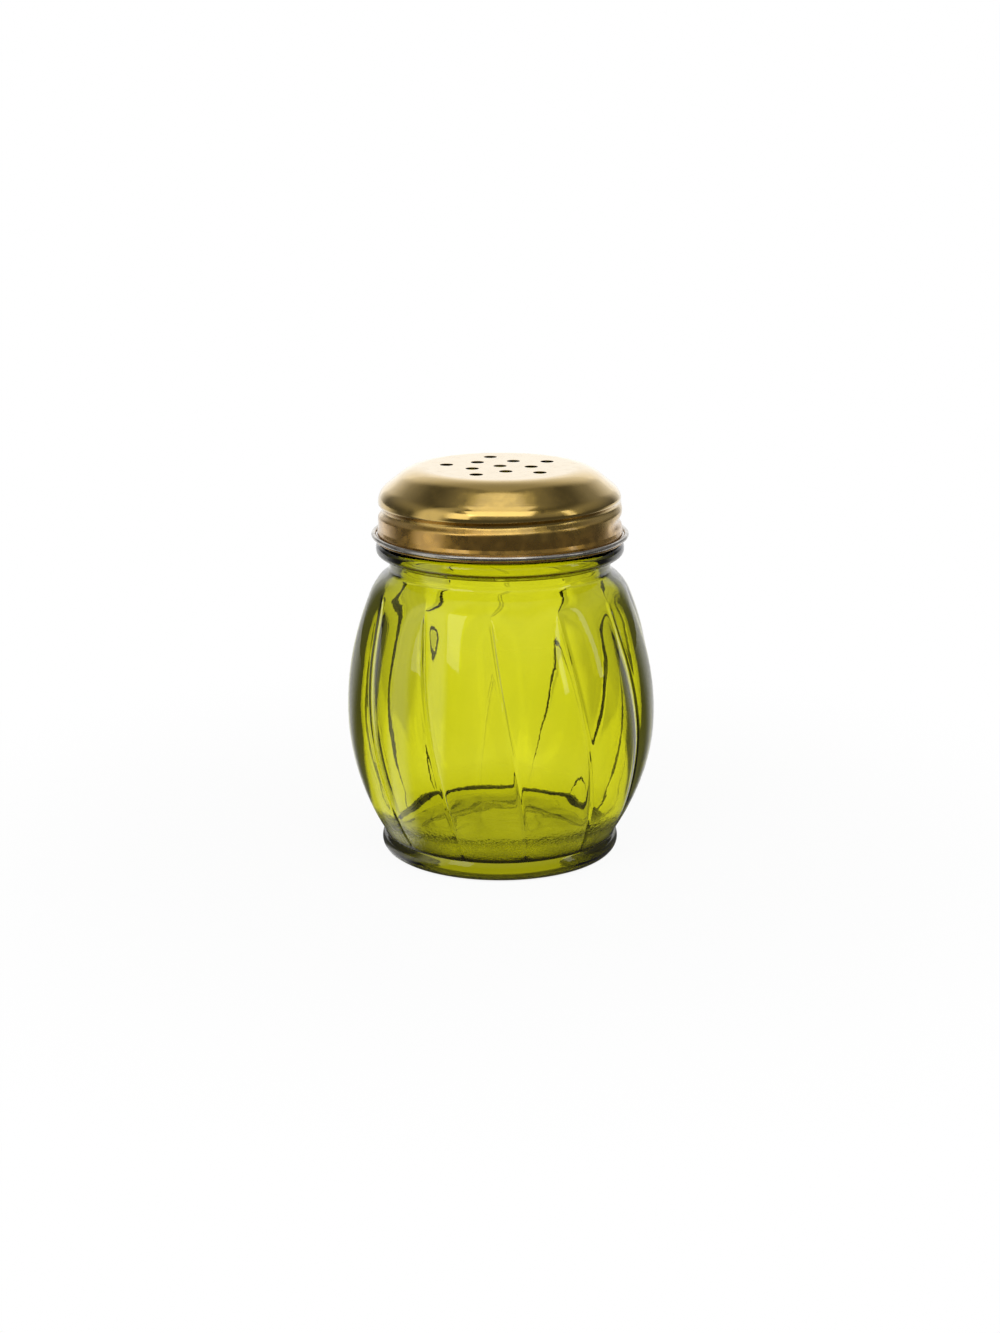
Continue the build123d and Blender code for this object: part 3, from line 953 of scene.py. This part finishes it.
class SHAKER_OT_lid_cap(bpy.types.Operator):
    """Spin the gold cap with its rolled thread and punch its sprinkle holes"""

    bl_idname = "shaker.lid_cap"
    bl_label = "Gold cap"

    def execute(self, context):
        lid = context.scene.shaker_lid
        form = LidForm(JarForm(context.scene.shaker_jar), lid)
        outside = form.outside()
        inside = self.pushed_in(outside, lid.sheet)
        edge = self.folded_edge(outside[-1], inside[-1])
        outline = [*outside, *edge, *reversed(inside)]
        count = lid.round_steps
        points = []
        for point in outline:
            points.extend(self.threaded_ring(form, point))
        faces = []
        for index in range(len(outline) - 1):
            faces.extend(quad[::-1] for quad in band_faces(index * count, (index + 1) * count, count))
        piece = mesh_object("lid_cap_piece", points, faces)
        self.punch_plate(piece.data, form)
        gold = gold_plate(context.scene.shaker_finish, lid.plate_radius, form.cap_top)
        fit_piece(piece, gold, "cap", "lid_cap")
        return {"FINISHED"}

    def pushed_in(self, outline, depth):
        """The outline moved inwards by the sheet's thickness."""
        moved = []
        last = len(outline) - 1
        for index, point in enumerate(outline):
            along = (outline[min(last, index + 1)] - outline[max(0, index - 1)]).normalized()
            if index == 0:
                along = Vector((1.0, 0.0))
            moved.append(point + Vector((along.y, -along.x)) * depth)
        return moved

    def folded_edge(self, first, last):
        """Half-round edge where the sheet ends."""
        middle = (first + last) / 2
        return arc_points(middle, first - middle, -pi, FOLD_STEPS)[1:-1]

    def threaded_ring(self, form, point):
        """One ring of the sheet, pressed inwards where the thread is rolled."""
        lid, jar = form.lid, form.jar
        on_skirt = point.x > form.inside_radius - lid.sheet
        ring = []
        for angle in turn_angles(lid.round_steps):
            radius = point.x
            if on_skirt:
                radius -= lid.rolled_depth * thread_height(
                    angle, point.y, jar.thread_angle, form.thread_level, jar.thread_pitch,
                    lid.thread_turns, jar.thread_fade, lid.rolled_mouth, 0.0,
                )
            ring.append(around(radius, angle, point.y))
        return ring

    def hole_spots(self, lid):
        """Middle of each sprinkle hole: one in the centre and two rings of holes."""
        spots = [(0.0, 0.0)]
        for radius, start in ((lid.inner_ring, lid.inner_turn), (lid.outer_ring, lid.outer_turn)):
            for angle in turn_angles(lid.holes_per_ring):
                spots.append((radius * cos(start + angle), radius * sin(start + angle)))
        return spots

    def hole_outline(self, form):
        """Section of a punched edge, as (distance past the hole's wall, height), from top to bottom."""
        lid = form.lid
        top, bottom, edge = form.cap_top, form.cap_top - lid.sheet, lid.hole_edge
        bends = arc_angles(pi / 2, PUNCH_STEPS)
        upper = [(edge * (1 - sin(a)), top - edge * (1 - cos(a))) for a in bends]
        lower = [(edge * (1 - cos(a)), bottom + edge * (1 - sin(a))) for a in bends]
        return [(lid.hole_border, top), *upper, *lower, (lid.hole_border, bottom)]

    def punch_plate(self, mesh, form):
        """Fills the flat plate inside the first and last rings, leaving the sprinkle holes open."""
        lid = form.lid
        work = bmesh.new()
        work.from_mesh(mesh)
        work.verts.ensure_lookup_table()
        work.edges.ensure_lookup_table()
        rims = {"top": [], "bottom": []}
        for edge in work.edges:
            if edge.is_boundary:
                high = edge.verts[0].co.z > form.cap_top - lid.sheet / 2
                rims["top" if high else "bottom"].append(edge)
        section = self.hole_outline(form)
        for x, y in self.hole_spots(lid):
            rings = []
            for past, height in section:
                radius = lid.hole_radius + past
                rings.append([
                    work.verts.new((x + radius * cos(a), y + radius * sin(a), height))
                    for a in turn_angles(lid.hole_steps)
                ])
            for upper, lower in zip(rings, rings[1:]):
                for step in range(lid.hole_steps):
                    after = (step + 1) % lid.hole_steps
                    work.faces.new((upper[step], upper[after], lower[after], lower[step])).smooth = True
            for side, ring in (("top", rings[0]), ("bottom", rings[-1])):
                for step in range(lid.hole_steps):
                    rims[side].append(work.edges.get((ring[step], ring[(step + 1) % lid.hole_steps])))
        for side in rims.values():
            filled = bmesh.ops.triangle_fill(work, use_beauty=True, use_dissolve=False, edges=side)
            for element in filled["geom"]:
                if isinstance(element, bmesh.types.BMFace):
                    element.smooth = True
        bmesh.ops.recalc_face_normals(work, faces=work.faces)
        work.to_mesh(mesh)
        work.free()


class SHAKER_OT_rim_ring(bpy.types.Operator):
    """Bend the steel ring that lies in the hem of the cap"""

    bl_idname = "shaker.rim_ring"
    bl_label = "Hem ring"

    def execute(self, context):
        lid = context.scene.shaker_lid
        form = LidForm(JarForm(context.scene.shaker_jar), lid)
        count = lid.round_steps
        points = []
        for tilt in turn_angles(lid.wire_steps):
            radius = form.ring_radius + lid.wire_radius * cos(tilt)
            height = form.ring_level + lid.wire_radius * sin(tilt)
            points.extend(around(radius, angle, height) for angle in turn_angles(count))
        faces = []
        for step in range(lid.wire_steps):
            faces.extend(band_faces(step * count, (step + 1) % lid.wire_steps * count, count))
        piece = mesh_object("rim_ring_piece", points, faces)
        fit_piece(piece, bare_steel(context.scene.shaker_finish), "rim", "rim_ring")
        return {"FINISHED"}


class SHAKER_OT_stage(bpy.types.Operator):
    """Set up the white table, the soft lamps, the room and the camera"""

    bl_idname = "shaker.stage"
    bl_label = "Stage"

    def execute(self, context):
        stage = context.scene.shaker_stage
        context.scene.view_settings.view_transform = "Standard"
        self.table(stage)
        self.room(context, stage)
        boxes = {row[0]: self.soft_box(*row) for row in SOFT_BOXES}
        self.kept_off_glass([boxes[name] for name in METAL_BOXES])
        # The lamp behind doesn't show through the glass
        boxes["back_box"].visible_transmission = False
        self.camera(context, stage)
        return {"FINISHED"}

    def table(self, stage):
        """White table that takes the shadow near the shaker, with a painted shadow in a disk under the foot,
        and is plain background further out.
        """
        half = stage.floor_size / 2
        corners = [(x * half, y * half, -stage.table_gap) for x, y in ((-1, -1), (1, -1), (1, 1), (-1, 1))]
        table = mesh_object("table", corners, [(0, 1, 2, 3)])
        material, tree = new_material("pale_table")
        spot = (new_node(tree, "ShaderNodeTexCoord"), "Object")
        reach = vector_length(tree, spot)
        outward = ranged(
            tree, reach, stage.lit_radius, stage.white_radius, stage.white_near, 1.0, "SMOOTHSTEP"
        )
        # Painted shadow: the table's white glow is cut back in a disk the size of the foot, so that its
        # shadowed paint shows there through the glass
        start, end = FOOT_SHADOW_EDGE
        painted_foot_shadow = ranged(
            tree, reach, stage.foot_shadow * start, stage.foot_shadow * end, stage.white_beneath, 1.0
        )
        lit = calculated(tree, "MULTIPLY", outward, painted_foot_shadow)
        light = self.studio_light(tree, stage, spot, stage.floor_panel)
        paint = new_node(
            tree, "ShaderNodeBsdfDiffuse", Color=(*stage.floor_colour, 1.0), Roughness=TABLE_ROUGHNESS
        )
        shown = calculated(tree, "MULTIPLY", lit, self.seen_rays(tree))
        blend = new_node(tree, "ShaderNodeMixShader", Fac=shown)
        set_input(tree, blend.inputs[1], paint)
        set_input(tree, blend.inputs[2], new_node(tree, "ShaderNodeEmission", Strength=light))
        new_node(tree, "ShaderNodeOutputMaterial", Surface=blend)
        table.data.materials.append(material)

    def seen_rays(self, tree):
        """1 for rays that show a picture of the surroundings: camera, glossy and transmission."""
        path = new_node(tree, "ShaderNodeLightPath")
        mirrored = calculated(tree, "MAXIMUM", (path, "Is Glossy Ray"), (path, "Is Transmission Ray"))
        return calculated(tree, "MAXIMUM", mirrored, (path, "Is Camera Ray"))

    def studio_light(self, tree, stage, source, panel_half):
        """White all round for the camera. Glass and metal see white panels and dim flags between them."""
        path = new_node(tree, "ShaderNodeLightPath")
        split = new_node(tree, "ShaderNodeSeparateXYZ", Vector=source)
        bearing = calculated(tree, "ARCTAN2", (split, "Y"), (split, "X"))
        through = self.white_paths(tree, stage, path, bearing, vector_length(tree, source))
        mirrored = self.white_panels(tree, stage, bearing, panel_half)
        not_through = calculated(tree, "SUBTRACT", 1.0, (path, "Is Transmission Ray"))
        lit = calculated(
            tree, "MAXIMUM",
            calculated(tree, "MULTIPLY", through, (path, "Is Transmission Ray")),
            calculated(tree, "MULTIPLY", mirrored, not_through),
        )
        return calculated(tree, "MAXIMUM", lit, (path, "Is Camera Ray"))

    def white_paths(self, tree, stage, path, bearing, far):
        """White paths that run out from the shaker, dim beside them, for light that comes through the glass.

        A hollow part, with two walls to pass, sees a path every 45 degrees. Solid glass sees narrower ones
        every 90 degrees, so that edges stay dark.
        """
        hollow = calculated(tree, "GREATER_THAN", (path, "Transmission Depth"), HOLLOW_PASSES)
        fold = calculated(tree, "MULTIPLY_ADD", hollow, HOLLOW_FOLD - SOLID_FOLD, SOLID_FOLD)
        off_middle = calculated(tree, "PINGPONG", calculated(tree, "ADD", bearing, pi), fold)
        aside = calculated(tree, "MULTIPLY", calculated(tree, "SINE", off_middle), far)
        wider = stage.path_width - stage.solid_path_width
        near_half = calculated(tree, "MULTIPLY_ADD", hollow, wider, stage.solid_path_width)
        half = calculated(tree, "MULTIPLY_ADD", far, sin(stage.path_spread), near_half)
        white = self.falling_off(tree, calculated(tree, "DIVIDE", aside, half), PATH_EDGE, 0.0)
        lighter = stage.hollow_flag_level - stage.flag_level
        dim = calculated(tree, "MULTIPLY_ADD", hollow, lighter, stage.flag_level)
        return calculated(tree, "MAXIMUM", white, dim)

    def white_panels(self, tree, stage, bearing, panel_half):
        """White panels behind the shaker and at its left, dim flags elsewhere, for mirror images."""
        behind = self.off_bearing(tree, bearing, pi / 2)
        left = self.off_bearing(tree, bearing, LEFT_PANEL)
        edge = (panel_half - PANEL_SOFTNESS, panel_half + PANEL_SOFTNESS)
        return calculated(
            tree, "MAXIMUM",
            self.falling_off(tree, behind, edge, stage.flag_level),
            self.falling_off(tree, left, LEFT_PANEL_EDGE, stage.flag_level),
        )

    def falling_off(self, tree, value, edge, dim):
        """1 for values before an edge given as (start, end), falling smoothly to a dim level past it."""
        white_until, dim_from = edge
        return ranged(tree, value, dim_from, white_until, dim, 1.0, "SMOOTHSTEP")

    def off_bearing(self, tree, bearing, middle):
        """How far a bearing lies from a middle one, from 0 to half a turn."""
        turned = calculated(tree, "SUBTRACT", bearing, middle)
        return calculated(tree, "ARCCOSINE", calculated(tree, "COSINE", turned))

    def room(self, context, stage):
        """White surroundings, a dimmer ceiling that only metal and glass see, and an even fill light."""
        world = bpy.data.worlds.new("white_room")
        context.scene.world = world
        world.use_nodes = True
        tree = world.node_tree
        tree.nodes.clear()
        direction = (new_node(tree, "ShaderNodeTexCoord"), "Generated")
        upward = (new_node(tree, "ShaderNodeSeparateXYZ", Vector=direction), "Z")
        overhead = self.falling_off(tree, upward, WALL_BEND, stage.panel_top)
        light = self.studio_light(tree, stage, direction, stage.wall_panel)
        panels = calculated(tree, "MULTIPLY", overhead, light)
        above = calculated(tree, "MAXIMUM", panels, self.coved_ceiling(tree, stage, upward))
        camera_ray = (new_node(tree, "ShaderNodeLightPath"), "Is Camera Ray")
        seen = calculated(tree, "MAXIMUM", above, camera_ray)
        brightness = new_node(tree, "ShaderNodeMix", Factor=self.seen_rays(tree), A=stage.fill, B=seen)
        backdrop = new_node(tree, "ShaderNodeBackground", Color=(*WHITE, 1.0), Strength=brightness)
        new_node(tree, "ShaderNodeOutputWorld", Surface=backdrop)

    def coved_ceiling(self, tree, stage, upward):
        """Brightness of the dim walls and the ceiling, by height."""
        cove = new_node(tree, "ShaderNodeValToRGB", Fac=upward)
        ramp = cove.color_ramp
        levels = (stage.flag_level, stage.cove, stage.ceiling, stage.cove)
        for _ in levels[2:]:
            ramp.elements.new(1.0)
        ramp.interpolation = "EASE"
        for element, height, level in zip(ramp.elements, COVE_HEIGHTS, levels):
            element.position = height
            element.color = (level, level, level, 1.0)
        return cove

    def soft_box(self, name, spot, target, width, tall, brightness):
        """Rectangular soft lamp of an even brightness, out of the camera's sight."""
        lamp = bpy.data.lights.new(name, "AREA")
        lamp.shape = "RECTANGLE"
        lamp.size = width
        lamp.size_y = tall
        lamp.energy = brightness * pi * width * tall
        box = bpy.data.objects.new(name, lamp)
        box.visible_camera = False
        self.aim(box, spot, target)
        return box

    def kept_off_glass(self, boxes):
        """Keeps lamps that are meant for the metal from showing as pale panes on the glass."""
        shaded = bpy.data.collections.new("shaded_glass")
        shaded.objects.link(bpy.data.objects["glass_jar_piece"])
        shaded.collection_objects[0].light_linking.link_state = "EXCLUDE"
        for box in boxes:
            box.light_linking.receiver_collection = shaded

    def camera(self, context, stage):
        """Camera at the photograph's height and distance."""
        lens = bpy.data.cameras.new("camera")
        lens.lens = stage.lens
        lens.clip_start = NEAREST_SEEN
        eye = bpy.data.objects.new("camera", lens)
        self.aim(eye, stage.camera_place, stage.camera_target)
        context.scene.camera = eye

    def aim(self, thing, spot, target):
        """Puts a lamp or the camera in its place, turned to its target."""
        thing.location = spot
        thing.rotation_euler = (Vector(target) - Vector(spot)).to_track_quat("-Z", "Y").to_euler()
        bpy.context.scene.collection.objects.link(thing)


class SHAKER_PT_panel(bpy.types.Panel):
    """Pieces of the shaker and the sizes that shape them"""

    bl_label = "Parmesan shaker"
    bl_idname = "SHAKER_PT_panel"
    bl_space_type = "VIEW_3D"
    bl_region_type = "UI"
    bl_category = "Shaker"

    def draw(self, context):
        for operator in OPERATORS:
            self.layout.operator(operator.bl_idname)
        for name in SETTINGS:
            group = getattr(context.scene, name)
            box = self.layout.box()
            for key in group.__annotations__:
                box.prop(group, key)


SETTINGS = {
    "shaker_jar": JarSizes,
    "shaker_lid": LidSizes,
    "shaker_finish": Finishes,
    "shaker_stage": StageSettings,
}
OPERATORS = (SHAKER_OT_glass_jar, SHAKER_OT_lid_cap, SHAKER_OT_rim_ring, SHAKER_OT_stage)
CLASSES = (*SETTINGS.values(), *OPERATORS, SHAKER_PT_panel)


def register():
    for item in CLASSES:
        bpy.utils.register_class(item)
    for name, group in SETTINGS.items():
        setattr(bpy.types.Scene, name, PointerProperty(type=group))


def unregister():
    for name in SETTINGS:
        delattr(bpy.types.Scene, name)
    for item in reversed(CLASSES):
        bpy.utils.unregister_class(item)


def main():
    register()
    bpy.ops.shaker.glass_jar()
    bpy.ops.shaker.lid_cap()
    bpy.ops.shaker.rim_ring()
    bpy.ops.shaker.stage()


if __name__ == "__main__":
    main()
